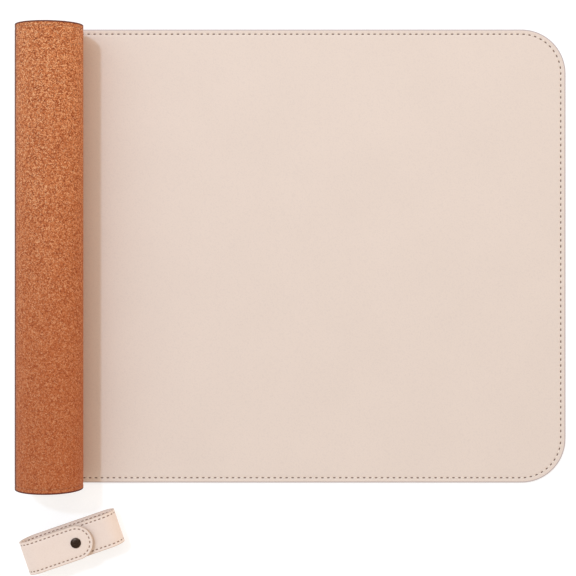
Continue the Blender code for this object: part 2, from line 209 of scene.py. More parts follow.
class Path:
    """A line in the x, z plane made of straight and round stretches, each a length and a turn.

    A positive turn bends the line to its right, and height is measured to its right too.
    """

    def __init__(self, x, z, heading, stretches):
        rows = []
        start = 0.0
        for length, turn in stretches:
            rows.append((start, length, turn, x, z, heading))
            radius = length / turn if turn else 0.0
            if turn:
                x += radius * (math.sin(heading) - math.sin(heading - turn))
                z += radius * (math.cos(heading - turn) - math.cos(heading))
            else:
                x += length * math.cos(heading)
                z += length * math.sin(heading)
            heading -= turn
            start += length
        self.rows = np.array(rows)
        self.length = start

    def place(self, distance, height):
        """Arrays of x, z and heading at distances along the line and heights to its right."""
        distance, height = np.asarray(distance, float), np.asarray(height, float)
        index = np.searchsorted(self.rows[:, 0], distance, side="right") - 1
        start, length, turn, x, z, heading = self.rows[np.clip(index, 0, len(self.rows) - 1)].T
        run = distance - start
        bend = turn * run / length
        now = heading - bend
        # The chord of a round stretch, which is the run itself on a straight one
        chord = run * np.sinc(bend / (2 * math.pi))
        middle = heading - bend / 2
        x = x + chord * np.cos(middle) + height * np.sin(now)
        z = z + chord * np.sin(middle) - height * np.cos(now)
        return x, z, now

    def point(self, distance):
        x, z, _ = self.place([distance], [0.0])
        return Vector((x[0], 0.0, z[0]))


def roll_joints():
    """The chain of hinges that unrolls the sheet, from the flat part inwards."""
    found = [joint for joint in frame["joints"] if joint["name"].startswith("unroll_")]
    return sorted(found, key=lambda joint: joint["name"])


HINGES = roll_joints()
TURN = math.radians(HINGES[0]["range_deg"][1])
PIVOTS = [Vector(joint["pos_m"]) for joint in HINGES]


def arc_radii():
    """Each hinge's radius of the roll. Two hinges lie half of each one's arc apart."""
    first = (PIVOTS[1] - PIVOTS[0]).length / TURN
    last = (PIVOTS[-1] - PIVOTS[-2]).length / TURN
    step = (first - last) / (len(PIVOTS) - 2)
    return [first + step / 2 - i * step for i in range(len(PIVOTS))]


RADII = arc_radii()
ARC_LENGTHS = [radius * TURN for radius in RADII]
RIGHT_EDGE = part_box("leather_sheet")[1].x
HALF_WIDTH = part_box("leather_sheet")[1].y
TANGENT = PIVOTS[0].x + ARC_LENGTHS[0] / 2
FLAT_LENGTH = RIGHT_EDGE - TANGENT
LENGTH = FLAT_LENGTH + sum(ARC_LENGTHS)
MIDDLE = PIVOTS[0].z - RADII[0] * (1 - TURN / 2 / math.tan(TURN / 2))
THICKNESS = 2 * MIDDLE
SHEET = Path(
    RIGHT_EDGE, MIDDLE, math.pi, [(FLAT_LENGTH, 0.0), *((length, TURN) for length in ARC_LENGTHS)]
)
ARC_STARTS = [FLAT_LENGTH + sum(ARC_LENGTHS[:i]) for i in range(len(PIVOTS) + 1)]


def strap_frame():
    """The strap's place, with X along its loop and the origin under its middle.

    Also where its tab's hinge is along that X, and how high.
    """
    hinge = Vector(next(j["pos_m"] for j in frame["joints"] if j["name"] == "tab_lift"))
    low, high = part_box("snap_cap")
    snap = (low + high) / 2
    along = Vector((snap.x - hinge.x, snap.y - hinge.y, 0.0))
    hinge_at = SNAP_AT - along.length
    angle = math.atan2(along.y, along.x)
    place = Vector((snap.x, snap.y, 0.0)) - along.normalized() * SNAP_AT
    return Matrix.Translation(place) @ Matrix.Rotation(angle, 4, "Z"), hinge_at, hinge.z


STRAP_TO_WORLD, TAB_HINGE, TAB_TOP = strap_frame()
TAB_BOTTOM = TAB_TOP - STRAP_THICKNESS
INNER_TOP = TAB_BOTTOM - STRAP_LAYER_GAP
OUTER_END_RADIUS = (TAB_TOP - STRAP_THICKNESS) / 2
INNER_END_RADIUS = (INNER_TOP - STRAP_THICKNESS) / 2
STRAP = Path(
    STRAP_INNER_END,
    INNER_TOP - STRAP_THICKNESS / 2,
    0.0,
    [
        (STRAP_STRAIGHT / 2 - STRAP_INNER_END, 0.0),
        (math.pi * INNER_END_RADIUS, math.pi),
        (STRAP_STRAIGHT, 0.0),
        (math.pi * OUTER_END_RADIUS, math.pi),
        (STRAP_STRAIGHT / 2 + STRAP_TAB_END, 0.0),
    ],
)
TAB_START = STRAP.length - STRAP_TAB_END + TAB_HINGE - TAB_BEND / 2


# ---------------------------------------------------------------- flat outlines with a seam


class Outline:
    """A rounded rectangle from X = -length to X = 0, with a seam at an inset inside its edge.

    It is walked anticlockwise. A station is where the walk is sampled: its seam distance, the
    centre that its corner or its side is measured from, how far out the edge is from there, and
    the outward direction. Stations also stand where the long sides cross the given X places.
    """

    def __init__(self, length, half_width, right_radius, left_radius, inset, stitch, x_places):
        self.inset = inset
        right, left = right_radius, length - left_radius
        corners = (
            (-right, half_width - right_radius, right_radius, 0.0),
            (-left, half_width - left_radius, left_radius, math.pi / 2),
            (-left, left_radius - half_width, left_radius, math.pi),
            (-right, right_radius - half_width, right_radius, 1.5 * math.pi),
        )
        self.spans = []
        seam = 0.0
        for i, (x, y, radius, start) in enumerate(corners):
            self.spans.append((seam, x, y, radius, start, math.pi / 2, 0.0))
            seam += (radius - inset) * math.pi / 2
            next_x, next_y = corners[(i + 1) % 4][:2]
            turn = start + math.pi / 2
            side = (x - next_x) * math.sin(turn) + (next_y - y) * math.cos(turn)
            self.spans.append((seam, x, y, radius, turn, 0.0, side))
            seam += side
        self.seam = seam
        self.count = round(seam / stitch)
        self.stitch = seam / self.count
        self.stations = self.sample(x_places)

    def sample(self, x_places):
        """Stations at each needle hole, at fine steps round corners and at the X places."""
        found = [(k + share) * self.stitch for k in range(self.count) for share in HOLE_SAMPLES]
        for seam, x, _, radius, start, turn, side in self.spans:
            if turn:
                sweep = (radius - self.inset) * turn
                found += [seam + sweep * i / CORNER_STEPS for i in range(CORNER_STEPS)]
            elif abs(math.cos(start)) < abs(math.sin(start)):
                # A long side, which faces along Y
                runs = [(x - at) * math.sin(start) for at in x_places]
                found += [seam + run for run in runs if 0 <= run <= side]
        places = {round(place, SEAM_DIGITS) % self.seam for place in found}
        return [(place, *self.at(place)) for place in sorted(places)]

    def at(self, seam_distance):
        """The centre, its reach out to the edge, and the outward direction, at a seam distance."""
        q = seam_distance % self.seam
        span = next(s for s in reversed(self.spans) if q >= s[0] - SLACK)
        seam, x, y, radius, start, turn, _ = span
        if turn:
            angle = start + (q - seam) / max(radius - self.inset, LEAST_RADIUS)
            return x, y, radius, math.cos(angle), math.sin(angle)
        run = q - seam
        out_x, out_y = math.cos(start), math.sin(start)
        return x - run * out_y, y + run * out_x, radius, out_x, out_y

    def point(self, seam_distance, inset):
        x, y, reach, out_x, out_y = self.at(seam_distance)
        return x + (reach - inset) * out_x, y + (reach - inset) * out_y

    def hole_nearness(self, seam_distance, inset):
        """1 at a needle hole's middle, falling to 0 round it."""
        along = (seam_distance / self.stitch + 0.5) % 1.0 - 0.5
        length = along * self.stitch / DIMPLE[0]
        width = (inset - self.inset) / DIMPLE[1]
        return math.exp(-(length * length + width * width) * DIMPLE_FALL)


def layer(outline, profile, pit):
    """A flat closed bmesh whose rings follow the outline at each inset and height of a profile.

    A positive pit sinks its needle holes down into its upper face, and a negative one up into its
    lower face.
    """
    work = bmesh.new()
    middle = (profile[0][1] + profile[-1][1]) / 2
    sheet_uv = work.loops.layers.uv.new("sheet")
    seam_uv = work.loops.layers.uv.new("seam")
    rings = []
    for inset, height in profile:
        ring = []
        for q, x, y, reach, out_x, out_y in outline.stations:
            out = max(reach - inset, LEAST_REACH)
            dent = pit * outline.hole_nearness(q, inset) if (height > middle) == (pit > 0) else 0.0
            ring.append(work.verts.new((x + out * out_x, y + out * out_y, height - dent)))
        rings.append(ring)
    count = len(outline.stations)
    distances = [station[0] for station in outline.stations] + [outline.seam]
    for k in range(len(rings) - 1):
        for i in range(count):
            j = (i + 1) % count
            face = work.faces.new((rings[k][i], rings[k][j], rings[k + 1][j], rings[k + 1][i]))
            corners = ((i, k), (i + 1, k), (i + 1, k + 1), (i, k + 1))
            for loop, (at, ring) in zip(face.loops, corners):
                loop[seam_uv].uv = (distances[at], profile[ring][0])
    caps = (work.faces.new(rings[0][::-1]), work.faces.new(rings[-1]))
    for cap, (inset, _) in zip(caps, (profile[0], profile[-1])):
        for loop in cap.loops:
            loop[seam_uv].uv = (0.0, inset)
    for face in work.faces:
        for loop in face.loops:
            loop[sheet_uv].uv = loop.vert.co.xy
    return work


def cut_across(work, place, drop=0):
    """Divides flat geometry at an X place, dropping its left side for -1 and its right for 1."""
    cut = bmesh.ops.bisect_plane(
        work,
        geom=[*work.verts, *work.edges, *work.faces],
        dist=WELD,
        plane_co=(place, 0, 0),
        plane_no=(1, 0, 0),
        clear_inner=drop < 0,
        clear_outer=drop > 0,
    )
    if drop:
        edges = [e for e in cut["geom_cut"] if isinstance(e, bmesh.types.BMEdge) and e.is_boundary]
        bmesh.ops.holes_fill(work, edges=edges, sides=0)


def flat_mesh(name, work, smooth_angle=SHEET_SMOOTH):
    mesh = bpy.data.meshes.new(name)
    work.to_mesh(mesh)
    mesh.shade_smooth()
    mesh.set_sharp_from_angle(angle=math.radians(smooth_angle))
    return mesh


def lay(mesh, path, middle, to_world=None):
    """Lays a flat mesh along a path, turning its points and its shading normals alike.

    What is at the middle height lands on the path itself.
    """
    count, corners = len(mesh.vertices), len(mesh.loops)
    points = np.empty(count * 3)
    mesh.vertices.foreach_get("co", points)
    points = points.reshape(-1, 3)
    normals = np.empty(corners * 3)
    mesh.corner_normals.foreach_get("vector", normals)
    normals = normals.reshape(-1, 3)
    owners = np.empty(corners, int)
    mesh.loops.foreach_get("vertex_index", owners)
    x, z, heading = path.place(-points[:, 0], points[:, 2] - middle)
    laid = np.stack([x, points[:, 1], z], axis=1)
    cosine, sine = np.cos(heading[owners]), np.sin(heading[owners])
    turned = np.stack(
        [
            normals[:, 2] * sine - normals[:, 0] * cosine,
            normals[:, 1],
            -normals[:, 0] * sine - normals[:, 2] * cosine,
        ],
        axis=1,
    )
    if to_world is not None:
        matrix = np.array(to_world)
        laid = laid @ matrix[:3, :3].T + matrix[:3, 3]
        turned = turned @ matrix[:3, :3].T
    mesh.vertices.foreach_set("co", laid.ravel())
    mesh.update()
    mesh.normals_split_custom_set(turned.tolist())
    return mesh


def show(mesh, material, replaced=()):
    """Puts a finished mesh in the scene with its material, standing for the named CAD nodes."""
    obj = bpy.data.objects.new(mesh.name, mesh)
    bpy.context.scene.collection.objects.link(obj)
    mesh.materials.append(material)
    if replaced:
        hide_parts(*replaced)
    return obj


# ---------------------------------------------------------------- seams


def add_tube(work, points, radius, travelled):
    """A closed tube through the points. Its UV map holds the distances along it and round it."""
    uv = work.loops.layers.uv.get("thread") or work.loops.layers.uv.new("thread")
    rings = []
    lengths = []
    for i, point in enumerate(points):
        before, after = points[max(i - 1, 0)], points[min(i + 1, len(points) - 1)]
        along = (after - before).normalized()
        across = along.cross(Vector((0, 0, 1))).normalized()
        up = across.cross(along)
        travelled += (point - points[i - 1]).length if i else 0.0
        lengths.append(travelled)
        ring = []
        for k in range(THREAD_SIDES):
            turn = math.tau * k / THREAD_SIDES
            offset = across * math.cos(turn) + up * math.sin(turn)
            ring.append(work.verts.new(point + offset * radius))
        rings.append(ring)
    for i in range(len(rings) - 1):
        for k in range(THREAD_SIDES):
            j = (k + 1) % THREAD_SIDES
            face = work.faces.new((rings[i][k], rings[i][j], rings[i + 1][j], rings[i + 1][k]))
            corners = ((i, k), (i, k + 1), (i + 1, k + 1), (i + 1, k))
            for loop, (at, turn) in zip(face.loops, corners):
                loop[uv].uv = (lengths[at], math.tau * radius * turn / THREAD_SIDES)
    work.faces.new(rings[0][::-1])
    work.faces.new(rings[-1])


def stitch_points(outline, index, surface, outward, proud):
    """One stitch between two needle holes: it dips into both and lies on the surface between."""
    points = []
    for i in range(STITCH_STEPS + 1):
        share = i / STITCH_STEPS
        q = index + HOLE_SHARE / 2 + share * (1 - HOLE_SHARE)
        rise = math.sin(math.pi * share) ** STITCH_BULGE
        x, y = outline.point(q * outline.stitch, outline.inset)
        height = surface + outward * (THREAD_RADIUS * proud - (1 - rise) * STITCH_DIP)
        points.append(Vector((x, y, height)))
    return points


def add_stitches(work, outline, surface, outward, proud, right, left):
    """The flat stitches whose middles lie between two X places."""
    for index in range(outline.count):
        start = index * outline.stitch
        middle = outline.point(start + outline.stitch / 2, outline.inset)[0]
        if left < middle <= right:
            points = stitch_points(outline, index, surface, outward, proud)
            add_tube(work, points, THREAD_RADIUS, start)


# ---------------------------------------------------------------- materials


def linear(red, green, blue):
    """A colour from 0 to 255 as it is seen, turned into the renderer's linear values."""
    values = (channel / 255 for channel in (red, green, blue))
    return (*(v / 12.92 if v <= 0.04045 else ((v + 0.055) / 1.055) ** 2.4 for v in values), 1.0)


class Shader:
    """A material's nodes. Each method adds one node and returns its output."""

    def __init__(self, name):
        self.material = bpy.data.materials.new(name)
        self.material.use_nodes = True
        self.tree = self.material.node_tree
        self.surface = self.tree.nodes["Principled BSDF"]

    def add(self, kind, inputs=(), output=0, **settings):
        node = self.tree.nodes.new(kind)
        for key, value in settings.items():
            setattr(node, key, value)
        for key, value in dict(inputs).items():
            self.put(node.inputs[key], value)
        return node.outputs[output]

    def put(self, socket, value):
        if isinstance(value, bpy.types.NodeSocket):
            self.tree.links.new(value, socket)
        else:
            socket.default_value = value

    def math(self, operation, *values):
        return self.add("ShaderNodeMath", enumerate(values), operation=operation)

    def between(self, value, low, high, out_low=0.0, out_high=1.0):
        """A smooth step of a value from one range to another."""
        inputs = {0: value, 1: low, 2: high, 3: out_low, 4: out_high}
        return self.add("ShaderNodeMapRange", inputs, interpolation_type="SMOOTHSTEP")

    def mix(self, factor, first, second):
        inputs = {0: factor, 6: first, 7: second}
        return self.add("ShaderNodeMix", inputs, 2, data_type="RGBA")

    def uv(self, name):
        return self.add("ShaderNodeUVMap", uv_map=name)

    def parts(self, vector):
        """A vector's X and Y."""
        split = self.tree.nodes.new("ShaderNodeSeparateXYZ")
        self.put(split.inputs[0], vector)
        return split.outputs[0], split.outputs[1]

    def noise(self, vector, size, detail):
        inputs = {"Vector": vector, "Scale": 1 / size, "Detail": detail, "Roughness": 0.55}
        return self.add("ShaderNodeTexNoise", inputs)

    def cells(self, vector, size, feature="F1", output="Distance"):
        inputs = {"Vector": vector, "Scale": 1 / size}
        return self.add("ShaderNodeTexVoronoi", inputs, output, feature=feature)

    def chips(self, vector, size, channel=0):
        """A random value for each cell of a pattern, from one channel of the cell's colour."""
        colour = self.cells(vector, size, output="Color")
        return self.add("ShaderNodeSeparateColor", {0: colour}, channel)

    def ramp(self, value, *stops):
        """A colour for a value, from pairs of place and colour."""
        node = self.tree.nodes.new("ShaderNodeValToRGB")
        self.put(node.inputs[0], value)
        elements = node.color_ramp.elements
        for element, (place, colour) in zip((elements[1], elements[0]), (stops[-1], stops[0])):
            element.position = place
            element.color = colour
        for place, colour in stops[1:-1]:
            elements.new(place).color = colour
        return node.outputs[0]

    def bump(self, height, distance, strength):
        inputs = {"Height": height, "Distance": distance, "Strength": strength}
        return self.add("ShaderNodeBump", inputs)

    def finish(self, **inputs):
        """Sets the surface's inputs, each named with underscores for its spaces."""
        for key, value in inputs.items():
            self.put(self.surface.inputs[key.replace("_", " ")], value)
        return self.material


def shaded(colour, factor):
    """A linear colour made darker or paler by a factor."""
    return (*(min(1.0, channel * factor) for channel in colour[:3]), 1.0)


def needle_holes(shader, stitch, inset):
    """1 inside a needle hole, where its shade is painted, and 0 outside it, and how far in from the
    edge a point is.
    """
    q, depth = shader.parts(shader.uv("seam"))
    turns = shader.math("DIVIDE", q, stitch)
    share = shader.math("SUBTRACT", shader.math("FRACT", shader.math("ADD", turns, 0.5)), 0.5)
    along = shader.math("MULTIPLY", share, stitch / HOLE[0])
    across = shader.math("DIVIDE", shader.math("SUBTRACT", depth, inset), HOLE[1])
    squares = [shader.math("MULTIPLY", value, value) for value in (along, across)]
    squares = shader.math("ADD", *squares)
    hole_shade = shader.between(squares, 0.35, 1.5, 1.0, 0.0)
    return hole_shade, depth


def leather(name, face, edge_paint_and_shade, edge_width, hole_shade_colour, stitch, inset):
    """Smooth pebbled leather with a stitched margin, a painted cut edge, and painted shade on its
    rim, in its grain's crevices and in its needle holes.
    """
    shader = Shader(name)
    face, edge_paint_and_shade = linear(*face), linear(*edge_paint_and_shade)
    place = shader.uv("sheet")
    drift = shader.noise(place, LEATHER_DRIFT, 2)
    mottle = shader.noise(place, LEATHER_MOTTLE, 4)
    pebble = shader.cells(place, LEATHER_PEBBLE, "SMOOTH_F1")
    pores = shader.noise(place, LEATHER_PORE, 3)
    deep = shaded(face, 0.95)
    colour = shader.ramp(drift, (0.3, deep), (0.7, shaded(face, 1.03)))
    colour = shader.mix(0.3, face, colour)
    dirt = shader.between(mottle, 0.35, 0.7, 0.0, 0.10)
    colour = shader.mix(dirt, colour, deep)
    # Painted shade in the crevices of the grain, in the rim's colour
    crease_shade = shader.between(pebble, 0.35, 0.75, 0.0, 0.10)
    colour = shader.mix(crease_shade, colour, edge_paint_and_shade)
    hole_shade, depth = needle_holes(shader, stitch, inset)
    # Painted shade in the needle holes
    colour = shader.mix(hole_shade, colour, linear(*hole_shade_colour))
    wobble = shader.math("MULTIPLY_ADD", mottle, RIM_WOBBLE, -RIM_WOBBLE / 2)
    # Painted shade: the rim is painted darker, partly as edge paint and partly as the shade where
    # the rounded rim turns away
    rim_paint_and_shade = shader.between(shader.math("ADD", depth, wobble), edge_width * 0.6, edge_width, 1.0, 0.0)
    colour = shader.mix(rim_paint_and_shade, colour, edge_paint_and_shade)
    grain = shader.math("MULTIPLY_ADD", pores, 0.35, shader.math("MULTIPLY", pebble, -0.8))
    normal = shader.bump(grain, LEATHER_RELIEF, 0.55)
    rough = shader.math("MULTIPLY_ADD", mottle, 0.16, 0.46)
    return shader.finish(
        Base_Color=colour,
        Roughness=rough,
        Normal=normal,
        Specular_IOR_Level=0.35,
        Sheen_Weight=0.12,
        Sheen_Roughness=0.4,
    )


def cork(name, stitch, inset):
    """Pressed cork: granules of many browns with dark bark specks and binder between them."""
    shader = Shader(name)
    place = shader.uv("sheet")
    warp = shader.noise(place, 2 * CORK_SWIRL, 2)
    swirl = shader.add("ShaderNodeTexNoise", {"Vector": place, "Scale": 1 / CORK_SWIRL}, "Color")
    shift = shader.add("ShaderNodeVectorMath", {0: swirl, "Scale": CORK_SWIRL}, operation="SCALE")
    warped = shader.add("ShaderNodeVectorMath", {0: place, 1: shift}, operation="ADD")
    tone = shader.chips(warped, CORK_GRANULE)
    fine = shader.chips(warped, CORK_GRAIN)
    fleck = shader.chips(warped, CORK_FLECK, 1)
    gap = shader.cells(warped, CORK_GRANULE, "DISTANCE_TO_EDGE")
    blend = shader.math("MULTIPLY_ADD", fine, 0.4, shader.math("MULTIPLY", tone, 0.6))
    blend = shader.math("MULTIPLY_ADD", shader.math("SUBTRACT", warp, 0.5), 0.35, blend)
    colour = shader.ramp(blend, *((at, linear(*tone)) for at, tone in CORK_TONES))
    pale, dark = (shader.between(fleck, *ends, 0.0, 0.55) for ends in ((0.86, 0.92), (0.14, 0.08)))
    colour = shader.mix(pale, colour, linear(*CORK_PALE_FLECK))
    colour = shader.mix(dark, colour, linear(*CORK_DARK_FLECK))
    binder = shader.between(gap, 0.0, 0.09, 0.5, 0.0)
    colour = shader.mix(binder, colour, linear(*CORK_BINDER))
    _, across = shader.parts(place)
    # Painted shade: the cork is painted darker and redder towards the -Y side of the mat
    drift = shader.math("MULTIPLY", shader.noise(place, CORK_DRIFT, 2), 0.12)
    drift = shader.math("SUBTRACT", drift, across)
    drift = shader.between(drift, -0.14, 0.24, 0.0, 0.58)
    colour = shader.mix(drift, colour, linear(*CORK_RED_SHADE))
    hole_shade, depth = needle_holes(shader, stitch, inset)
    # Painted shade, faint, in the needle holes
    colour = shader.mix(shader.math("MULTIPLY", hole_shade, 0.3), colour, linear(*CORK_HOLE_SHADE))
    # Painted shade: the rim is painted dark, partly as edge paint and partly as the shade where the
    # rounded rim turns away
    rim_paint_and_shade = shader.between(depth, *CORK_RIM_WIDTHS, 0.92, 0.0)
    colour = shader.mix(rim_paint_and_shade, colour, linear(*CORK_RIM_PAINT_AND_SHADE))
    # Painted shade: the roll's outer flank, which faces -X, is painted darker where it turns out of
    # sight
    facing = shader.add("ShaderNodeLayerWeight", {"Blend": 0.5}, "Facing")
    normal_x, _ = shader.parts(shader.add("ShaderNodeNewGeometry", output="Normal"))
    limb_shade = shader.between(facing, 0.66, 0.82, 0.0, 0.88)
    limb_shade = shader.math("MULTIPLY", limb_shade, shader.between(normal_x, -0.2, -0.7, 0.0, 1.0))
    colour = shader.mix(limb_shade, colour, linear(*CORK_LIMB_SHADE))
    relief = shader.math("MULTIPLY_ADD", shader.between(gap, 0.0, 0.25), 0.6, blend)
    normal = shader.bump(relief, CORK_RELIEF, 0.7)
    rough = shader.math("MULTIPLY_ADD", blend, -0.15, 0.86)
    return shader.finish(
        Base_Color=colour, Roughness=rough, Normal=normal, Specular_IOR_Level=0.25
    )


def thread(name, colour):
    """Twisted sewing thread, its strands slanting round it."""
    shader = Shader(name)
    colour = linear(*colour)
    place = shader.uv("thread")
    along, around = shader.parts(place)
    slant = shader.math("MULTIPLY", around, STRANDS / THREAD_RADIUS)
    phase = shader.math("MULTIPLY_ADD", along, math.tau / TWIST, slant)
    strand = shader.math("MULTIPLY_ADD", shader.math("SINE", phase), 0.5, 0.5)
    fuzz = shader.noise(place, THREAD_FUZZ, 2)
    # Painted shade in the grooves between the strands, mixed with random fuzz
    shade = shader.math("MULTIPLY_ADD", fuzz, 0.3, shader.math("MULTIPLY", strand, 0.7))
    tint = shader.ramp(shade, (0.1, shaded(colour, 0.75)), (0.75, colour))
    normal = shader.bump(strand, THREAD_RELIEF, 0.8)
    return shader.finish(Base_Color=tint, Roughness=0.6, Normal=normal, Sheen_Weight=0.3)


def snap_metal(name):
    """Dark antiqued metal, worn paler where it stands proud."""
    shader = Shader(name)
    place = shader.add("ShaderNodeTexCoord", output="Object")
    patina = shader.noise(place, METAL_PATINA, 4)
    scratches = shader.noise(place, METAL_SCRATCH, 3)
    worn = shader.between(shader.add("ShaderNodeNewGeometry", output="Pointiness"), 0.5, 0.56)
    colour = shader.ramp(patina, (0.3, linear(*METAL_DARK)), (0.75, linear(*METAL_BROWN)))
    colour = shader.mix(shader.math("MULTIPLY", worn, 0.5), colour, linear(*METAL_WORN))
    rough = shader.math("MULTIPLY_ADD", scratches, 0.25, 0.22)
    normal = shader.bump(scratches, METAL_RELIEF, 0.4)
    return shader.finish(Base_Color=colour, Metallic=1.0, Roughness=rough, Normal=normal)


# ---------------------------------------------------------------- the mat

# Each layer in section, as pairs of inset from the edge and height in millimetres
LEATHER_PROFILE = (
    (9.0, 1.03),
    (0.30, 1.03),
    (0.06, 1.08),
    (0.0, 1.20),
    (0.0, 1.60),
    (0.07, 1.80),
    (0.22, 1.93),
    (0.48, 1.99),
    (1.0, 2.0),
    (1.9, 1.985),
    (2.6, 1.965),
    (3.0, 1.93),
    (3.3, 1.90),
    (3.6, 1.89),
    (3.9, 1.90),
    (4.2, 1.93),
    (4.7, 1.965),
    (5.6, 1.99),
    (7.0, 2.0),
    (9.0, 2.0),
)
CORK_PROFILE = (
    (9.0, 0.0),
    (5.0, 0.0),
    (4.2, 0.05),
    (3.6, 0.14),
    (3.0, 0.05),
    (2.2, 0.0),
    (0.45, 0.0),
    (0.15, 0.06),
    (0.02, 0.22),
    (0.02, 0.80),
    (0.10, 0.95),
    (0.35, 0.99),
    (9.0, 0.99),
)
# How deep the needle's dimples are, and for each thread the height of its groove and how far its
# middle stands out of it, in radii
LEATHER_PIT = 0.45 * MM
CORK_PIT = -0.2 * MM
NEEDLE_GROOVE = 1.89 * MM
NEEDLE_PROUD = 0.2
BOBBIN_GROOVE = 0.14 * MM
BOBBIN_PROUD = -0.5


def in_millimetres(profile):
    return [(inset * MM, height * MM) for inset, height in profile]


def arc_lines(index):
    """The distances that divide one arc of the roll."""
    start, length = ARC_STARTS[index], ARC_LENGTHS[index]
    return [start + length * i / ARC_STEPS for i in range(ARC_STEPS + 1)]


def sheet_outline():
    lines = [-distance for i in range(len(PIVOTS)) for distance in arc_lines(i)]
    return Outline(LENGTH, HALF_WIDTH, CORNER_RADIUS, CORNER_RADIUS, SEAM_INSET, STITCH, lines)


def bend_with(obj):
    """Bakes a piece of the roll's place in the world into its mesh."""
    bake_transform(obj)


def build_layer(name, profile, pit, outline, material):
    """One layer of the mat: its flat part, then one piece for each arc of the roll."""
    rest = layer(outline, in_millimetres(profile), pit)
    flat = rest.copy()
    cut_across(flat, -FLAT_LENGTH, drop=-1)
    mesh = lay(flat_mesh(name + "_flat", flat), SHEET, MIDDLE)
    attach(show(mesh, material, [name + "_sheet"]), "mat")
    flat.free()
    cut_across(rest, -FLAT_LENGTH, drop=1)
    for index in range(len(PIVOTS)):
        piece = rest.copy()
        if index < len(PIVOTS) - 1:
            cut_across(piece, -ARC_STARTS[index + 1], drop=-1)
            cut_across(rest, -ARC_STARTS[index + 1], drop=1)
        for distance in arc_lines(index)[1:-1]:
            cut_across(piece, -distance)
        mesh = lay(flat_mesh(f"{name}_bend_{index + 1:02d}", piece), SHEET, MIDDLE)
        replaced = [f"{name}_strip_{index + 1:02d}"]
        bend_with(show(mesh, material, replaced))
        piece.free()
    rest.free()


def build_seam(name, surface, outward, proud, outline, material):
    """One thread of the mat's seam: the flat part's stitches, then each arc's."""
    edges = [BEYOND, *(-distance for distance in ARC_STARTS[:-1]), -LENGTH - BEYOND]
    for index, (right, left) in enumerate(zip(edges, edges[1:])):
        work = bmesh.new()
        add_stitches(work, outline, surface, outward, proud, right, left)
        piece = f"{name}_flat" if index == 0 else f"{name}_bend_{index:02d}"
        mesh = flat_mesh(piece, work, THREAD_SMOOTH)
        work.free()
        lay(mesh, SHEET, MIDDLE)
        obj = show(mesh, material, [name + "_thread"] if index == 0 else ())
        if index == 0:
            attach(obj, "mat")
        else:
            bend_with(obj)


def build_mat(needle):
    """The mat's two layers and the two threads of its seam."""
    outline = sheet_outline()
    seam = (outline.stitch, SEAM_INSET)
    colours = (LEATHER_COLOUR, LEATHER_RIM_PAINT_AND_SHADE, LEATHER_RIM_WIDTH, LEATHER_HOLE_SHADE)
    face = leather("leather_look", *colours, *seam)
    back = cork("cork_look", *seam)
    bobbin = thread("bobbin_look", BOBBIN_COLOUR)
    build_layer("leather", LEATHER_PROFILE, LEATHER_PIT, outline, face)
    build_layer("cork", CORK_PROFILE, CORK_PIT, outline, back)
    build_seam("needle", NEEDLE_GROOVE, 1, NEEDLE_PROUD, outline, needle)
    build_seam("bobbin", BOBBIN_GROOVE, -1, BOBBIN_PROUD, outline, bobbin)


# ---------------------------------------------------------------- the strap

# Its seam's groove on either face, how far the thread's middle stands out of it in radii, and its
# section, as pairs of inset from the edge and height in millimetres
STRAP_GROOVE = 0.12 * MM
STRAP_PROUD = -0.3
STRAP_PROFILE = (
    (6.0, 0.0),
    (3.4, 0.0),
    (2.8, 0.04),
    (2.4, 0.09),
    (2.0, 0.04),
    (1.4, 0.0),
    (0.5, 0.0),
    (0.18, 0.07),
    (0.03, 0.25),
    (0.0, 0.6),
    (0.0, 1.0),
    (0.03, 1.35),
    (0.18, 1.53),
    (0.5, 1.6),
    (1.2, 1.59),
    (1.7, 1.55),
    (2.1, 1.49),
    (2.4, 1.46),
    (2.7, 1.49),
    (3.1, 1.55),
    (3.8, 1.59),
    (6.0, 1.6),
)


def strap_lines():
    """Distances that divide the strap where it is round and where its tab bends."""
    lines = [TAB_START + TAB_BEND * i / TAB_STEPS for i in range(TAB_STEPS + 1)]
    for start, length, turn, *_ in STRAP.rows:
        if turn:
            lines += [start + length * i / STRAP_ARC_STEPS for i in range(STRAP_ARC_STEPS + 1)]
    return sorted(lines)


def strap_outline():
    half = STRAP_WIDTH / 2
    places = [-line for line in strap_lines()]
    return Outline(STRAP.length, half, STRAP_CORNER, half, STRAP_SEAM_INSET, STRAP_STITCH, places)


def place_on_strap(mesh, material, node, body):
    """Lays a flat piece along the strap's loop, and attaches the band's pieces to the strap's body.
    """
    lay(mesh, STRAP, STRAP_THICKNESS / 2, STRAP_TO_WORLD)
    obj = show(mesh, material, [node])
    if body == "strap":
        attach(obj, body)
        return
    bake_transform(obj)


def build_strap(outline, face, stitching):
    """The strap's leather in two pieces, the band and the tab, each with stitches on both faces."""
    whole = layer(outline, in_millimetres(STRAP_PROFILE), -STRAP_PIT)
    for line in strap_lines():
        cut_across(whole, -line)
    pieces = (("band", "strap", -1, BEYOND, -TAB_START), ("tab", "tab", 1, -TAB_START, -BEYOND))
    for name, body, drop, right, left in pieces:
        work = whole.copy()
        cut_across(work, -TAB_START, drop)
        mesh = flat_mesh(f"{name}_leather", work)
        place_on_strap(mesh, face, f"strap_{name}", body)
        work.free()
        seam = bmesh.new()
        for surface, outward in ((STRAP_GROOVE, -1), (STRAP_THICKNESS - STRAP_GROOVE, 1)):
            add_stitches(seam, outline, surface, outward, STRAP_PROUD, right, left)
        mesh = flat_mesh(f"{name}_stitches", seam, THREAD_SMOOTH)
        place_on_strap(mesh, stitching, f"{name}_thread", body)
        seam.free()
    whole.free()


# ---------------------------------------------------------------- the snap


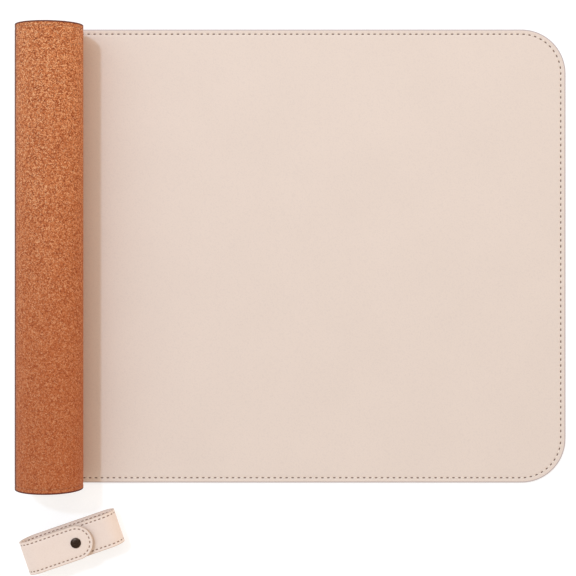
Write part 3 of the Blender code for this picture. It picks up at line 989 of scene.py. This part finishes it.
def filleted(points):
    """A profile of radius, height and corner size, with the corners between its ends rounded.

    A corner takes at most half of the line on either side of it.
    """
    places = [Vector(point[:2]) for point in points]
    made = [places[0]]
    for before, here, after, point in zip(places, places[1:], places[2:], points[1:]):
        back, ahead = before - here, after - here
        back *= min(point[2] / back.length, 0.5)
        ahead *= min(point[2] / ahead.length, 0.5)
        shares = [i / FILLET_STEPS for i in range(FILLET_STEPS + 1)] if point[2] else [0.0]
        made += [here + back * (1 - share) ** 2 + ahead * share**2 for share in shares]
    return [*made, places[-1]]


def turned_piece(name, profile, base, material, body):
    """A turned piece of the snap from a profile in millimetres above its base, top to bottom."""
    work = bmesh.new()
    rings = []
    for radius, height in filleted(profile):
        ring = []
        for i in range(TURNED_STEPS):
            turn = math.tau * i / TURNED_STEPS
            x, y = radius * MM * math.cos(turn), radius * MM * math.sin(turn)
            ring.append(work.verts.new((SNAP_AT + x, y, base + height * MM)))
        rings.append(ring)
    for upper, lower in zip(rings, rings[1:]):
        for i in range(TURNED_STEPS):
            j = (i + 1) % TURNED_STEPS
            work.faces.new((upper[i], lower[i], lower[j], upper[j]))
    bmesh.ops.remove_doubles(work, verts=work.verts, dist=WELD)
    bmesh.ops.dissolve_degenerate(work, edges=work.edges, dist=WELD)
    mesh = flat_mesh(f"{name}_metal", work, METAL_SMOOTH)
    work.free()
    mesh.transform(STRAP_TO_WORLD)
    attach(show(mesh, material, [name]), body)


# Each piece in section, as radius, height above its base and corner size in millimetres
CAP = (
    (0.0, 1.0),
    (1.5, 0.97, 0.6),
    (2.6, 0.84, 0.6),
    (3.2, 0.62, 0.2),
    (3.4, 0.50, 0.1),
    (4.0, 0.42, 0.18),
    (4.0, 0.0, 0.12),
    (0.9, 0.0, 0.0),
    (0.9, -2.0, 0.1),
    (0.0, -2.0),
)
SOCKET = (
    (1.2, 0.0),
    (3.6, 0.0, 0.3),
    (3.6, -0.7, 0.2),
    (3.0, -1.0, 0.2),
    (3.0, -2.1, 0.25),
    (2.3, -2.1, 0.2),
    (2.3, -0.5, 0.2),
    (1.2, -0.5, 0.0),
    (1.2, 0.0),
)
STUD = (
    (0.0, 1.7),
    (1.5, 1.7, 0.35),
    (1.9, 1.3, 0.3),
    (1.5, 0.9, 0.2),
    (1.5, 0.3, 0.25),
    (3.4, 0.3, 0.15),
    (3.4, 0.0, 0.1),
    (0.95, 0.0, 0.0),
    (0.95, 1.2, 0.1),
    (0.0, 1.2),
)
POST = (
    (0.0, 2.7),
    (0.7, 2.7, 0.15),
    (0.7, 0.0, 0.1),
    (3.2, 0.0, 0.1),
    (3.2, -0.2, 0.1),
    (2.7, -0.4, 0.2),
    (1.4, -0.4, 0.1),
    (1.0, -0.25, 0.1),
    (0.0, -0.25),
)


def build_snap(metal):
    """Cap and socket hold the tab between them, and stud and post the strap's covered end."""
    turned_piece("snap_cap", CAP, TAB_TOP + SNAP_SEAT, metal, "tab")
    turned_piece("snap_socket", SOCKET, TAB_BOTTOM - SNAP_SEAT, metal, "tab")
    turned_piece("snap_stud", STUD, INNER_TOP + SNAP_SEAT, metal, "strap")
    turned_piece("snap_post", POST, INNER_TOP - STRAP_THICKNESS - SNAP_SEAT, metal, "strap")


# ---------------------------------------------------------------- the studio


def build_floor():
    """White paper that glows like a light table, so that shadows on it stay faint."""
    mesh = bpy.data.meshes.new("floor")
    half = FLOOR_SIDE / 2
    corners = [(-half, -half), (half, -half), (half, half), (-half, half)]
    mesh.from_pydata([(x, y, -FLOOR_DROP) for x, y in corners], [], [(0, 1, 2, 3)])
    shader = Shader("paper")
    fibres = shader.noise(shader.add("ShaderNodeTexCoord", output="Object"), PAPER_FIBRE, 4)
    dark, pale = (shaded(WHITE, grey) for grey in FLOOR_GREYS)
    tone = shader.ramp(fibres, (0.3, dark), (0.7, pale))
    paper = shader.finish(
        Base_Color=tone, Roughness=0.8, Emission_Color=WHITE, Emission_Strength=FLOOR_GLOW
    )
    mesh.materials.append(paper)
    floor = bpy.data.objects.new("floor", mesh)
    bpy.context.scene.collection.objects.link(floor)


def add_sun(name, direction, strength, colour, spread):
    sun = bpy.data.objects.new(name, bpy.data.lights.new(name, "SUN"))
    sun.data.energy = strength
    sun.data.color = colour
    sun.data.angle = math.radians(spread)
    sun.rotation_euler = direction.to_track_quat("Z", "Y").to_euler()
    bpy.context.scene.collection.objects.link(sun)


def build_light():
    add_sun("key", *SUN)
    add_sun("soft_key", *SOFT_KEY)
    add_sun("fill", *FILL)
    box = bpy.data.objects.new("softbox", bpy.data.lights.new("softbox", "AREA"))
    box.data.shape = "RECTANGLE"
    box.data.size, box.data.size_y = SOFTBOX_SIZE
    box.data.energy = SOFTBOX_POWER
    box.location = SOFTBOX_PLACE
    box.rotation_euler = SOFTBOX_PLACE.to_track_quat("Z", "Y").to_euler()
    bpy.context.scene.collection.objects.link(box)
    build_sky()
    bpy.context.scene.view_settings.view_transform = "Standard"


def build_sky():
    """An even sky that lights the object, and white paper where the camera looks past the floor."""
    world = bpy.data.worlds.new("studio")
    world.use_nodes = True
    nodes, links = world.node_tree.nodes, world.node_tree.links
    sky = nodes["Background"]
    sky.inputs["Strength"].default_value = SKY_STRENGTH
    sky.inputs["Color"].default_value = SKY_COLOUR
    paper = nodes.new("ShaderNodeBackground")
    paper.inputs["Color"].default_value = WHITE
    seen = nodes.new("ShaderNodeMixShader")
    links.new(nodes.new("ShaderNodeLightPath").outputs["Is Camera Ray"], seen.inputs[0])
    links.new(sky.outputs[0], seen.inputs[1])
    links.new(paper.outputs[0], seen.inputs[2])
    links.new(seen.outputs[0], nodes["World Output"].inputs["Surface"])
    bpy.context.scene.world = world


def build_camera():
    """Looks straight down, shifted so that the picture's middle is lower than its own foot."""
    data = bpy.data.cameras.new("camera")
    data.sensor_width = SENSOR
    data.lens = SENSOR * (CAMERA_PLACE.z - THICKNESS) / VIEW_WIDTH
    data.shift_y = (VIEW_CENTRE_Y - CAMERA_PLACE.y) / VIEW_WIDTH
    data.clip_end = FARTHEST_SEEN
    camera = bpy.data.objects.new("camera", data)
    camera.location = CAMERA_PLACE
    bpy.context.scene.collection.objects.link(camera)
    bpy.context.scene.camera = camera


def main():
    needle = thread("needle_look", NEEDLE_COLOUR)
    build_mat(needle)
    outline = strap_outline()
    seam = (outline.stitch, STRAP_SEAM_INSET)
    colours = (STRAP_COLOUR, STRAP_RIM_PAINT_AND_SHADE, STRAP_RIM_WIDTH, STRAP_HOLE_SHADE)
    strap = leather("strap_look", *colours, *seam)
    build_strap(outline, strap, needle)
    build_snap(snap_metal("snap_look"))
    build_floor()
    build_light()
    build_camera()


main()
